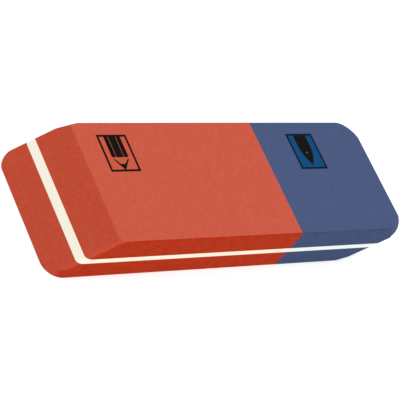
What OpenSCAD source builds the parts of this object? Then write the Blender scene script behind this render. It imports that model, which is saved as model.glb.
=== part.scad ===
// Two-compound block eraser: a slanted block of soft red and hard blue rubber
// on both sides of a thin white core. Millimetres, +X towards the blue end,
// +Z up, origin at the middle of the footprint, on the surface it lies on.

/* [Block] */
// Overall length, from the foot of the red end to the tip of the blue end
block_length = 60; // [45:1:90]
// Width of the block
block_width = 20; // [12:1:30]

/* [Layers] */
// Thickness of the coloured layer under the core
lower_layer = 3.4; // [2:0.05:6]
// Thickness of the white core
core_layer = 0.95; // [0.5:0.05:3]
// Thickness of the coloured layer over the core
upper_layer = 3.65; // [2:0.05:6]
// Length of the red rubber, from the foot of the red end to the blue rubber
red_length = 39.6; // [20:0.1:50]

/* [Slanted ends] */
// How far the top edge of the red end lies behind its foot
red_lean = 7.45; // [2:0.05:12]
// How far the tip of the blue end reaches past its lower edge
blue_lean = 6.7; // [2:0.05:12]
// Height of the blunt strip along the foot of the red end
foot_land = 0.25; // [0.1:0.05:1.5]
// Height of the blunt strip along the tip of the blue end
tip_land = 1.8; // [0.1:0.1:3]

/* [Corners] */
// Radius of the upright corner at the front of the red foot, seen from above
foot_front_corner = 3.0; // [1:0.1:5]
// Radius of the upright corner at the back of the red foot
foot_back_corner = 1.6; // [1:0.1:5]
// Radius of the upright corner at the front of the blue tip
tip_front_corner = 2.0; // [1:0.1:5]
// Radius of the upright corner at the back of the blue tip
tip_back_corner = 4.0; // [1:0.1:5]
// Radius that takes the points off both ends of the red foot, from the outside and below
foot_point = 2.5; // [0.5:0.1:5]
// Radius that takes the points off both ends of the blue tip, from the outside and above
tip_point = 3.1; // [0.5:0.1:5]
// Radius that takes the points off both ends of the two blunt edges across the block
bend_point = 1.1; // [0.5:0.1:3]

/* [Edges] */
// Radius of the edges between the slanted ends and the front face
front_slant_radius = 0.75; // [0.05:0.05:2]
// Radius of the edges between the slanted ends and the back face
back_slant_radius = 0.1; // [0.05:0.05:2]
// Radius of the long edges at the top and at the bottom
long_radius = 0.3; // [0.1:0.05:0.8]
// Radius of the two blunt edges across the block, over the red end and under the blue end
bend_radius = 0.75; // [0.2:0.05:1.5]
// Radius of the sharp edges across the block, at the blunt strips
nose_radius = 0.15; // [0.05:0.05:0.5]

/* [Hidden] */
$fn = 64;

block_height = lower_layer + core_layer + upper_layer;
core_bottom = lower_layer;
core_top = lower_layer + core_layer;
red_foot = -block_length / 2;
blue_tip = block_length / 2;
red_top = red_foot + red_lean;
blue_bottom = blue_tip - blue_lean;
color_joint = red_foot + red_length;

// How far each end leans from upright
red_angle = atan(red_lean / (block_height - foot_land));
blue_angle = atan(blue_lean / (block_height - tip_land));

// How far from upright the foot and the tip are pared at their two points
point_angle = 45;

// Each blunt strip has a corner at its top and one at its bottom, so their
// rounding stays under half of it
foot_radius = min(nose_radius, 0.45 * foot_land);
tip_radius = min(nose_radius, 0.45 * tip_land);

// Room past the block for the shapes that are cut down to it
spare = 10;

red_rubber = [0.76, 0.29, 0.20];
blue_rubber = [0.27, 0.34, 0.48];
white_rubber = [0.98, 0.94, 0.88];

// Unit vector from one point to another
function heading(from, to) = (to - from) / norm(to - from);

// Convex outline with each corner rounded to its own radius: straight edges from
// tangent point to tangent point, and a circle at each corner
module rounded_outline(points, radii) {
    count = len(points);
    corners = [
        for (i = [0 : count - 1])
            let (point = points[i],
                 back = heading(point, points[(i + count - 1) % count]),
                 ahead = heading(point, points[(i + 1) % count]),
                 half = acos(back * ahead) / 2,
                 along = radii[i] / tan(half),
                 inward = (back + ahead) / norm(back + ahead))
            [point + back * along, point + ahead * along,
             point + inward * radii[i] / sin(half), radii[i]]
    ];
    polygon([for (corner = corners) each [corner[0], corner[1]]]);
    for (corner = corners)
        translate(corner[2])
            circle(r = corner[3]);
}

// Rectangle from [x0, y0] to [x1, y1], with the radii of its corners in turn from
// [x0, y0], counterclockwise
module rounded_rectangle(x0, x1, y0, y1, radii) {
    rounded_outline([[x0, y0], [x1, y0], [x1, y1], [x0, y1]], radii);
}

// What the block looks like from above, upright all the way
module plan_prism() {
    translate([0, 0, -spare])
        linear_extrude(block_height + 2 * spare)
            rounded_rectangle(red_foot, blue_tip, -block_width / 2, block_width / 2,
                              [foot_front_corner, tip_front_corner,
                               tip_back_corner, foot_back_corner]);
}

// What the block looks like along its length, with its long edges softened
module section_prism() {
    translate([red_foot - spare, 0, 0])
        rotate([90, 0, 90])
            linear_extrude(block_length + 2 * spare)
                rounded_rectangle(-block_width / 2, block_width / 2, 0, block_height,
                                  [long_radius, long_radius, long_radius, long_radius]);
}

// What the block looks like from the front: slanted ends, each with a blunt strip
// along its sharp edge
module profile_prism() {
    translate([0, block_width / 2 + spare, 0])
        rotate([90, 0, 0])
            linear_extrude(block_width + 2 * spare)
                rounded_outline(
                    [[red_foot, 0], [blue_bottom, 0], [blue_tip, block_height - tip_land],
                     [blue_tip, block_height], [red_top, block_height], [red_foot, foot_land]],
                    [foot_radius, bend_radius, tip_radius, tip_radius, bend_radius, foot_radius]);
}

// Bar through the block that leans from upright by the angle, with one wall through the
// edge across the block at [x, z]. It reaches from that wall towards +X where side is 1,
// and towards -X where side is -1. Only its own corners cut into the block.
module leaning_bar(x, z, angle, side, front_radius, back_radius) {
    reach = block_length + block_height + spare;
    translate([x, 0, z])
        rotate([0, angle, 0])
            linear_extrude(2 * reach, center = true)
                rounded_rectangle(min(0, side * reach), max(0, side * reach),
                                  -block_width / 2, block_width / 2,
                                  [front_radius, front_radius, back_radius, back_radius]);
}

// The edges between the slanted ends and the faces at their sides, and the points where
// these edges start and finish
module softened_ends() {
    intersection() {
        leaning_bar(red_top, block_height, red_angle, 1, front_slant_radius, back_slant_radius);
        leaning_bar(blue_bottom, 0, blue_angle, -1, front_slant_radius, back_slant_radius);
        leaning_bar(red_top, block_height, (red_angle + 90) / 2, 1, bend_point, bend_point);
        leaning_bar(blue_bottom, 0, (blue_angle + 90) / 2, -1, bend_point, bend_point);
        leaning_bar(red_foot, 0, -point_angle, 1, foot_point, foot_point);
        leaning_bar(blue_tip, block_height, -point_angle, -1, tip_point, tip_point);
    }
}

// The whole block, before it is divided into its layers
module block() {
    intersection() {
        plan_prism();
        section_prism();
        profile_prism();
        softened_ends();
    }
}

// The stretch of the block from x0 to x1 and from z0 to z1
module block_part(x0, x1, z0, z1) {
    intersection() {
        block();
        translate([x0, -block_width / 2 - spare, z0])
            cube([x1 - x0, block_width + 2 * spare, z1 - z0]);
    }
}

module red_upper_layer() {
    color(red_rubber)
        block_part(red_foot - spare, color_joint, core_top, block_height + spare);
}

module blue_upper_layer() {
    color(blue_rubber)
        block_part(color_joint, blue_tip + spare, core_top, block_height + spare);
}

module white_core() {
    color(white_rubber)
        block_part(red_foot - spare, blue_tip + spare, core_bottom, core_top);
}

module red_lower_layer() {
    color(red_rubber)
        block_part(red_foot - spare, color_joint, -spare, core_bottom);
}

module blue_lower_layer() {
    color(blue_rubber)
        block_part(color_joint, blue_tip + spare, -spare, core_bottom);
}

red_upper_layer();
blue_upper_layer();
white_core();
red_lower_layer();
blue_lower_layer();
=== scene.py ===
"""Looks of a slanted block eraser: red and blue rubber, a white core and printed marks.

The solids keep their own shapes and get rubber materials here. The printed marks on the
upper face are added as thin films of ink. Lengths are in metres, in the frame of the part.
"""

import math

import bmesh
import bpy
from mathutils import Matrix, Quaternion, Vector


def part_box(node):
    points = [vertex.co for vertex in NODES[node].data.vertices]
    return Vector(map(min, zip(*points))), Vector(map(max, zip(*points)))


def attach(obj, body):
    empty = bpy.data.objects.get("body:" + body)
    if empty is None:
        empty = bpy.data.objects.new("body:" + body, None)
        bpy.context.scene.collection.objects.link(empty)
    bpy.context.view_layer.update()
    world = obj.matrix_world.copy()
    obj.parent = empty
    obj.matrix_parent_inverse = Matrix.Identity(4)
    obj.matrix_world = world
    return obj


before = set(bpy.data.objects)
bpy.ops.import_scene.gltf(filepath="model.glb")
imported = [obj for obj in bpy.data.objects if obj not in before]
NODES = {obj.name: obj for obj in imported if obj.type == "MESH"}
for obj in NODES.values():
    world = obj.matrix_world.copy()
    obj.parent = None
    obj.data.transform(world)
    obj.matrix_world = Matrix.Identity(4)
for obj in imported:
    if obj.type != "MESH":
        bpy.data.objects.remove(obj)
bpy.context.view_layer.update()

MM = 0.001
BODY = "root"

# Camera, as the photograph was taken: from the red end and the front, and rolled
CAMERA_PLACE = Vector((-166.9, -116.85, 175.68)) * MM
CAMERA_TARGET = Vector((-6.09, -3.56, 8.0)) * MM
CAMERA_ROLL = math.radians(40.66)
CAMERA_LENS = 167.8
CAMERA_NEAR = 10 * MM

# Studio: sky light all round, and one large soft lamp in front of the block and above it
SKY_LEVEL = 0.89
LAMP_PLACE = Vector((-30, -525, 320)) * MM
LAMP_SIDE = 500 * MM
LAMP_POWER = 0.9
FLOOR_SIDE = 6000 * MM
FLOOR_SHADE = 0.88
FLOOR_LIFT = 0.42

# Places on the block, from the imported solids
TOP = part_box("red_upper_layer")[1].z
COLOR_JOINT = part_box("red_upper_layer")[1].x

# Rubber colours, a lit and a shaded copy of each, which paint light and shade: the lit one on the
# faces above and below, the shaded one on the sides, and a mix on the ends
RED_PAINTED_LIT = (0.610, 0.102, 0.058)
RED_PAINTED_SHADED = (0.433, 0.0275, 0.0038)
RED_DUST = (0.62, 0.22, 0.15)
BLUE_PAINTED_LIT = (0.068, 0.099, 0.212)
BLUE_PAINTED_SHADED = (0.048, 0.070, 0.154)
BLUE_DUST = (0.16, 0.20, 0.31)
WHITE_BY_RED = (0.985, 0.905, 0.735)
WHITE_BY_BLUE = (0.87, 0.94, 0.88)
WHITE_SHADOW = (0.80, 0.76, 0.66)

# How far the ends go from the painted shaded colour towards the painted lit one: a painted
# half-light on the ends
END_PAINTED_LIGHT_SHARE = 0.59

# How strongly the mottling and the relief of each rubber show
RED_GRIT = 1.0
BLUE_GRIT = 0.6

# The specular levels of the shaders, which are low because rubber and its print are dull
RUBBER_SHEEN = 0.06
INK_SHEEN = 0.03

# Most of what a noise pattern gives lies between these two values
NOISE_LOW = 0.3
NOISE_HIGH = 0.7

# Ink colours. The thin frame line on the blue is navy.
BLACK_INK = (0.0035, 0.0045, 0.0022)
BLUE_INK = (0.003, 0.070, 0.205)
NAVY_INK = (0.002, 0.009, 0.024)

# Ink films: the marks lie on the rubber, and the black of the pen lies on its blue field
SUNK = 0.005 * MM
FILM = 0.012 * MM
FIELD_TOP = TOP + FILM
MARK_TOP = TOP + 2 * FILM
SOFT_EDGE = 0.004 * MM

# Frames of the two marks, in the plane of the upper face: left, right, front and back
PENCIL_FRAME = (-18.75 * MM, -14.06 * MM, 1.72 * MM, 7.62 * MM)
PEN_FRAME = (15.62 * MM, 20.42 * MM, 1.46 * MM, 7.58 * MM)
FRAME_LINE = 0.32 * MM


# Node trees

class Graph:
    """A tree of nodes and the few kinds of node that the materials and the sky are made of."""

    def __init__(self, tree):
        self.tree = tree

    def add(self, kind, **settings):
        """A new node of this kind, with these settings."""
        node = self.tree.nodes.new(kind)
        for name, value in settings.items():
            setattr(node, name, value)
        return node

    def feed(self, socket, value):
        """Links an output to the socket, or sets the socket to a number or a colour."""
        if isinstance(value, bpy.types.NodeSocket):
            self.tree.links.new(value, socket)
        elif isinstance(value, tuple):
            socket.default_value = (*value, 1)
        else:
            socket.default_value = value

    def math(self, operation, a, b=0.0):
        """One sum, product or other operation on two numbers."""
        node = self.add("ShaderNodeMath", operation=operation)
        self.feed(node.inputs[0], a)
        self.feed(node.inputs[1], b)
        return node.outputs[0]

    def ramp(self, value, low, high, to_low=0.0, to_high=1.0):
        """The value, stretched from between low and high to between to_low and to_high."""
        node = self.add("ShaderNodeMapRange", interpolation_type="SMOOTHSTEP")
        for socket, number in zip(node.inputs, (value, low, high, to_low, to_high)):
            self.feed(socket, number)
        return node.outputs["Result"]

    def mix(self, share, a, b):
        """Colour a, turning into colour b as the share goes from 0 to 1."""
        node = self.add("ShaderNodeMix", data_type="RGBA")
        self.feed(node.inputs["Factor"], share)
        self.feed(node.inputs["A"], a)
        self.feed(node.inputs["B"], b)
        return node.outputs["Result"]

    def deepen(self, colour, density):
        """The colour at another density of its pigment: deeper above 1, and paler below it."""
        node = self.add("ShaderNodeGamma")
        self.feed(node.inputs["Color"], colour)
        self.feed(node.inputs["Gamma"], density)
        return node.outputs["Color"]

    def seen(self):
        """1 for what is seen directly, in a gloss or through glass, and 0 for what gives light."""
        path = self.add("ShaderNodeLightPath")
        direct = self.math("MAXIMUM", path.outputs["Is Camera Ray"], path.outputs["Is Glossy Ray"])
        return self.math("MAXIMUM", direct, path.outputs["Is Transmission Ray"])

    def place(self):
        """The point on the surface, in the frame of the part."""
        return self.add("ShaderNodeTexCoord").outputs["Object"]

    def noise(self, grain, detail=2.0, roughness=0.5):
        """Soft random patches about as large as the grain."""
        node = self.add("ShaderNodeTexNoise")
        self.feed(node.inputs["Vector"], self.place())
        self.feed(node.inputs["Scale"], 1 / grain)
        self.feed(node.inputs["Detail"], detail)
        self.feed(node.inputs["Roughness"], roughness)
        return node.outputs["Fac"]

    def specks(self, spacing, size):
        """1 inside scattered round specks, and 0 between them."""
        node = self.add("ShaderNodeTexVoronoi")
        self.feed(node.inputs["Vector"], self.place())
        self.feed(node.inputs["Scale"], 1 / spacing)
        return self.ramp(node.outputs["Distance"], 0.5 * size, size, 1.0, 0.0)

    def facing(self, axis):
        """1 where the surface faces one way or the other along the axis, and 0 where it runs
        along it."""
        split = self.add("ShaderNodeSeparateXYZ")
        self.feed(split.inputs[0], self.add("ShaderNodeNewGeometry").outputs["Normal"])
        return self.math("ABSOLUTE", split.outputs[axis])


class Surface(Graph):
    """A material of one Principled shader."""

    def __init__(self, name):
        self.material = bpy.data.materials.new(name)
        self.material.use_nodes = True
        super().__init__(self.material.node_tree)
        self.shader = self.tree.nodes["Principled BSDF"]

    def coat(self, colour, roughness, sheen):
        """What the surface looks like: its colour, its roughness and its specular level."""
        self.feed(self.shader.inputs["Base Color"], colour)
        self.feed(self.shader.inputs["Roughness"], roughness)
        self.feed(self.shader.inputs["Specular IOR Level"], sheen)

    def patchy(self, grain, low, high):
        """A value that wanders softly between low and high, in patches as large as the grain."""
        return self.ramp(self.noise(grain), NOISE_LOW, NOISE_HIGH, low, high)

    def relief(self, heights):
        """Small relief, from pairs of a height pattern and its depth."""
        before = None
        for pattern, depth in heights:
            node = self.add("ShaderNodeBump")
            self.feed(node.inputs["Distance"], depth)
            self.feed(node.inputs["Height"], pattern)
            if before is not None:
                self.feed(node.inputs["Normal"], before)
            before = node.outputs["Normal"]
        self.feed(self.shader.inputs["Normal"], before)


# The studio

def make_camera():
    """The camera, aimed and then rolled about its own line of sight."""
    camera = bpy.data.objects.new("camera", bpy.data.cameras.new("camera"))
    bpy.context.scene.collection.objects.link(camera)
    aim = (CAMERA_TARGET - CAMERA_PLACE).to_track_quat("-Z", "Y")
    camera.location = CAMERA_PLACE
    camera.rotation_mode = "QUATERNION"
    camera.rotation_quaternion = aim @ Quaternion((0, 0, 1), CAMERA_ROLL)
    camera.data.lens = CAMERA_LENS
    camera.data.clip_start = CAMERA_NEAR
    bpy.context.scene.camera = camera


def make_sky():
    """Plain white light from all sides. Seen directly or in a gloss it is full white."""
    world = bpy.data.worlds.new("sky")
    world.use_nodes = True
    background = world.node_tree.nodes["Background"]
    graph = Graph(world.node_tree)
    graph.feed(background.inputs["Color"], (1, 1, 1))
    graph.feed(background.inputs["Strength"], graph.ramp(graph.seen(), 0.0, 1.0, SKY_LEVEL, 1.0))
    bpy.context.scene.world = world


def make_lamp():
    """The large soft lamp, aimed at the middle of the block."""
    light = bpy.data.lights.new("lamp", "AREA")
    light.shape = "SQUARE"
    light.size = LAMP_SIDE
    light.energy = LAMP_POWER
    lamp = bpy.data.objects.new("lamp", light)
    lamp.location = LAMP_PLACE
    lamp.rotation_mode = "QUATERNION"
    lamp.rotation_quaternion = (-LAMP_PLACE).to_track_quat("-Z", "Y")
    bpy.context.scene.collection.objects.link(lamp)


def make_floor():
    """The pale floor. Seen directly or in a gloss it is lifted to white, with the shadow on it."""
    material = bpy.data.materials.new("floor_paper")
    material.use_nodes = True
    graph = Graph(material.node_tree)
    graph.tree.nodes.clear()
    paper = graph.add("ShaderNodeBsdfDiffuse")
    graph.feed(paper.inputs["Color"], (FLOOR_SHADE, FLOOR_SHADE, FLOOR_SHADE))
    glow = graph.add("ShaderNodeEmission")
    graph.feed(glow.inputs["Strength"], graph.math("MULTIPLY", graph.seen(), FLOOR_LIFT))
    both = graph.add("ShaderNodeAddShader")
    graph.feed(both.inputs[0], paper.outputs[0])
    graph.feed(both.inputs[1], glow.outputs[0])
    output = graph.add("ShaderNodeOutputMaterial")
    graph.feed(output.inputs["Surface"], both.outputs[0])

    bpy.ops.mesh.primitive_plane_add(size=FLOOR_SIDE)
    floor = bpy.context.object
    floor.name = "floor"
    floor.data.materials.append(material)


# Materials

def coloured_rubber(name, rolled, painted_shaded_colour, dust, grit):
    """Rubber with light and shade painted into its colour: the painted lit colour on the faces
    above and below, the painted shaded colour, deeper and more mottled, on the sides, and a
    painted half-light on the ends."""
    surface = Surface(name)
    cut_mottling = 0.06 * grit
    rolled_mottling = 0.035 * grit
    dustiness = 0.08 * grit

    # Painted light and shade: the lit colour goes on the faces above and below, and part of it on
    # the ends. The colour goes softly round the edges of the ends, and changes crisply at the
    # upper and lower faces
    end = surface.math("MINIMUM", surface.ramp(surface.facing("X"), 0.0, 0.3),
                       surface.ramp(surface.facing("Y"), 0.75, 1.0, 1.0, 0.0))
    level = surface.ramp(surface.facing("Z"), 0.95, 1.0)
    # The share of the painted lit colour against the painted shaded one
    share = surface.math("MAXIMUM", surface.math("MULTIPLY", end, END_PAINTED_LIGHT_SHARE), level)
    colour = surface.mix(share, painted_shaded_colour, rolled)

    clouds = surface.noise(0.65 * MM, detail=4.0, roughness=0.6)
    swing = surface.ramp(surface.math("MAXIMUM", end, level), 0.0, 1.0,
                         cut_mottling, rolled_mottling)
    mottling = surface.math("MULTIPLY", surface.ramp(clouds, NOISE_LOW, NOISE_HIGH, -1.0, 1.0),
                            swing)
    colour = surface.deepen(colour, surface.math("ADD", mottling, 1.0))
    specks = surface.math("MULTIPLY", surface.specks(0.55 * MM, 0.16), dustiness)
    surface.coat(surface.mix(specks, colour, dust), surface.patchy(0.3 * MM, 0.62, 0.78),
                 RUBBER_SHEEN)

    grain = surface.noise(0.16 * MM, detail=3.0, roughness=0.6)
    waves = surface.noise(1.1 * MM, detail=1.0)
    pits = surface.specks(0.7 * MM, 0.14)
    surface.relief([(grain, 0.008 * MM * grit), (waves, 0.010 * MM), (pits, -0.010 * MM * grit)])
    return surface.material


def white_rubber():
    """The core: a warm white by the red rubber, and a cooler one by the blue. A cooler tint is
    also painted on the core the more its faces point up or down, the slanted ends among them:
    painted light."""
    surface = Surface("white_rubber")
    painted_tint_strength = 0.3
    shading = 0.15

    split = surface.add("ShaderNodeSeparateXYZ")
    surface.feed(split.inputs[0], surface.place())
    along = surface.ramp(split.outputs["X"], COLOR_JOINT - 1 * MM, COLOR_JOINT + 2 * MM)
    # Painted light: a cooler tint on faces that point up or down, such as the slanted ends
    painted_tint_share = surface.math("MULTIPLY", surface.facing("Z"), painted_tint_strength)
    white = surface.mix(surface.math("MAXIMUM", along, painted_tint_share), WHITE_BY_RED, WHITE_BY_BLUE)
    clouds = surface.noise(0.5 * MM, detail=3.0, roughness=0.6)
    shade = surface.ramp(clouds, 0.45, 0.8, 0.0, shading)
    surface.coat(surface.mix(shade, white, WHITE_SHADOW), surface.patchy(0.3 * MM, 0.6, 0.75),
                 RUBBER_SHEEN)

    grain = surface.noise(0.18 * MM, detail=3.0, roughness=0.6)
    surface.relief([(grain, 0.006 * MM)])
    return surface.material


def ink(name, colour, rubber):
    """A thin film of printed ink, with the rubber under it just showing through its pores."""
    surface = Surface(name)
    porosity = 0.12

    pores = surface.ramp(surface.noise(0.13 * MM, roughness=0.6), 0.62, 0.8, 0.0, porosity)
    surface.coat(surface.mix(pores, colour, rubber), surface.patchy(0.25 * MM, 0.45, 0.65),
                 INK_SHEEN)

    grain = surface.noise(0.16 * MM, detail=3.0, roughness=0.6)
    surface.relief([(grain, 0.005 * MM)])
    return surface.material


# Printed marks

def rectangle(left, right, front, back):
    """The corners of a rectangle, in turn."""
    return [(left, front), (right, front), (right, back), (left, back)]


def inset(box, gap):
    """The box, drawn in by the gap on all four sides."""
    left, right, front, back = box
    return (left + gap, right - gap, front + gap, back - gap)


def circle(middle, radius, count=24):
    """Points round a circle."""
    turns = [2 * math.pi * i / count for i in range(count)]
    return [(middle[0] + radius * math.cos(t), middle[1] + radius * math.sin(t)) for t in turns]


def film_part(mesh, outlines, bottom, top):
    """Adds one closed film to the mesh: the first outline, less the others, which are holes."""
    curve = bpy.data.curves.new("outline", "CURVE")
    curve.dimensions = "2D"
    curve.fill_mode = "BOTH"
    curve.extrude = (top - bottom) / 2 - SOFT_EDGE
    curve.bevel_depth = SOFT_EDGE
    curve.bevel_resolution = 1
    curve.offset = -SOFT_EDGE
    for outline in outlines:
        spline = curve.splines.new("POLY")
        spline.points.add(len(outline) - 1)
        for point, (x, y) in zip(spline.points, outline):
            point.co = (x, y, 0, 1)
        spline.use_cyclic_u = True
    shape = bpy.data.objects.new("outline", curve)
    bpy.context.scene.collection.objects.link(shape)
    bpy.context.view_layer.update()
    made = bpy.data.meshes.new_from_object(shape.evaluated_get(
        bpy.context.evaluated_depsgraph_get()))
    for vertex in made.vertices:
        vertex.co.z += (top + bottom) / 2
    mesh.from_mesh(made)
    bpy.data.objects.remove(shape)
    bpy.data.curves.remove(curve)
    bpy.data.meshes.remove(made)


def film(name, shapes, bottom, top, material):
    """A piece of printed ink. Each shape is an outline, followed by its holes."""
    mesh = bmesh.new()
    for outlines in shapes:
        film_part(mesh, outlines, bottom, top)
    bmesh.ops.remove_doubles(mesh, verts=mesh.verts, dist=0.0001 * MM)
    bmesh.ops.recalc_face_normals(mesh, faces=mesh.faces)
    data = bpy.data.meshes.new(name)
    mesh.to_mesh(data)
    mesh.free()
    data.materials.append(material)
    piece = bpy.data.objects.new(name, data)
    bpy.context.scene.collection.objects.link(piece)
    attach(piece, BODY)
    return piece


def frame_ring(box):
    """The thin line round a mark: its outer edge and its inner edge."""
    half = FRAME_LINE / 2
    return [rectangle(*inset(box, -half)), rectangle(*inset(box, half))]


def pencil_mark(material):
    """A sharpened pencil that comes in at the back of its frame and points to the front."""
    left, right, _, back = inset(PENCIL_FRAME, FRAME_LINE / 2)
    middle = (left + right) / 2
    barrel_end = 3.97 * MM
    cone_start = 3.65 * MM
    tip = 1.76 * MM
    half_width = 1.40 * MM
    cone_half = 1.30 * MM
    crease = 0.10 * MM
    side_facet = 0.69 * MM
    line_back = 0.22 * MM
    line_front = 0.34 * MM
    lead_back = 2.83 * MM

    bars = [
        (middle - half_width, middle - half_width + side_facet),
        (middle - half_width + side_facet + crease, middle + half_width - side_facet - crease),
        (middle + half_width - side_facet, middle + half_width),
    ]
    shapes = [frame_ring(PENCIL_FRAME)]
    shapes += [[rectangle(x0, x1, barrel_end, back)] for x0, x1 in bars]

    inner_half = cone_half - line_back
    lead_half = cone_half * (lead_back - tip) / (cone_start - tip) - line_front
    shapes.append([[
        (middle - cone_half, cone_start),
        (middle, tip),
        (middle + cone_half, cone_start),
        (middle + inner_half, cone_start),
        (middle + lead_half, lead_back),
        (middle - lead_half, lead_back),
        (middle - inner_half, cone_start),
    ]])
    film("pencil_mark", shapes, TOP - SUNK, MARK_TOP, material)


def nib_outline(middle, back):
    """A nib with straight sides down to its shoulder, and then two bowed edges to its tip."""
    half_width = 1.20 * MM
    shoulder = 5.3 * MM
    tip = 1.95 * MM
    bow = 0.20
    count = 10
    side = []
    for i in range(count + 1):
        share = i / count
        width = half_width * ((1 - share) + bow * math.sin(math.pi * share))
        side.append((width, shoulder + (tip - shoulder) * share))
    left = [(middle - half_width, back)] + [(middle - w, y) for w, y in side]
    right = [(middle + w, y) for w, y in reversed(side[:-1])] + [(middle + half_width, back)]
    return left + right


def pen_mark(black, navy, blue):
    """A pen's nib on a bright blue field, which comes in at the back and points to the front.
    The rubber shows through the round hole in the nib."""
    field = inset(PEN_FRAME, FRAME_LINE / 2)
    left, right, _, back = field
    middle = (left + right) / 2
    breather = circle((middle, 4.27 * MM), 0.19 * MM)
    film("pen_field", [[rectangle(*field), breather]],
         TOP - SUNK, FIELD_TOP, blue)
    film("pen_frame", [frame_ring(PEN_FRAME)],
         TOP - SUNK, MARK_TOP, navy)
    film("pen_nib", [[nib_outline(middle, back), breather]],
         TOP - SUNK, MARK_TOP, black)


# Putting it together

def dress(names, material):
    """Gives the solids of these names the material."""
    for name in names:
        mesh = NODES[name].data
        mesh.materials.clear()
        mesh.materials.append(material)


make_camera()
make_sky()
make_lamp()
make_floor()

dress(["red_upper_layer", "red_lower_layer"],
      coloured_rubber("red_rubber", RED_PAINTED_LIT, RED_PAINTED_SHADED, RED_DUST, RED_GRIT))
dress(["blue_upper_layer", "blue_lower_layer"],
      coloured_rubber("blue_rubber", BLUE_PAINTED_LIT, BLUE_PAINTED_SHADED, BLUE_DUST, BLUE_GRIT))
dress(["white_core"], white_rubber())

pencil_mark(ink("black_ink_on_red", BLACK_INK, RED_PAINTED_LIT))
pen_mark(ink("black_ink_on_blue", BLACK_INK, BLUE_PAINTED_LIT),
         ink("navy_ink", NAVY_INK, BLUE_PAINTED_LIT),
         ink("blue_ink", BLUE_INK, BLUE_PAINTED_LIT))

bpy.context.scene.view_settings.view_transform = "Standard"
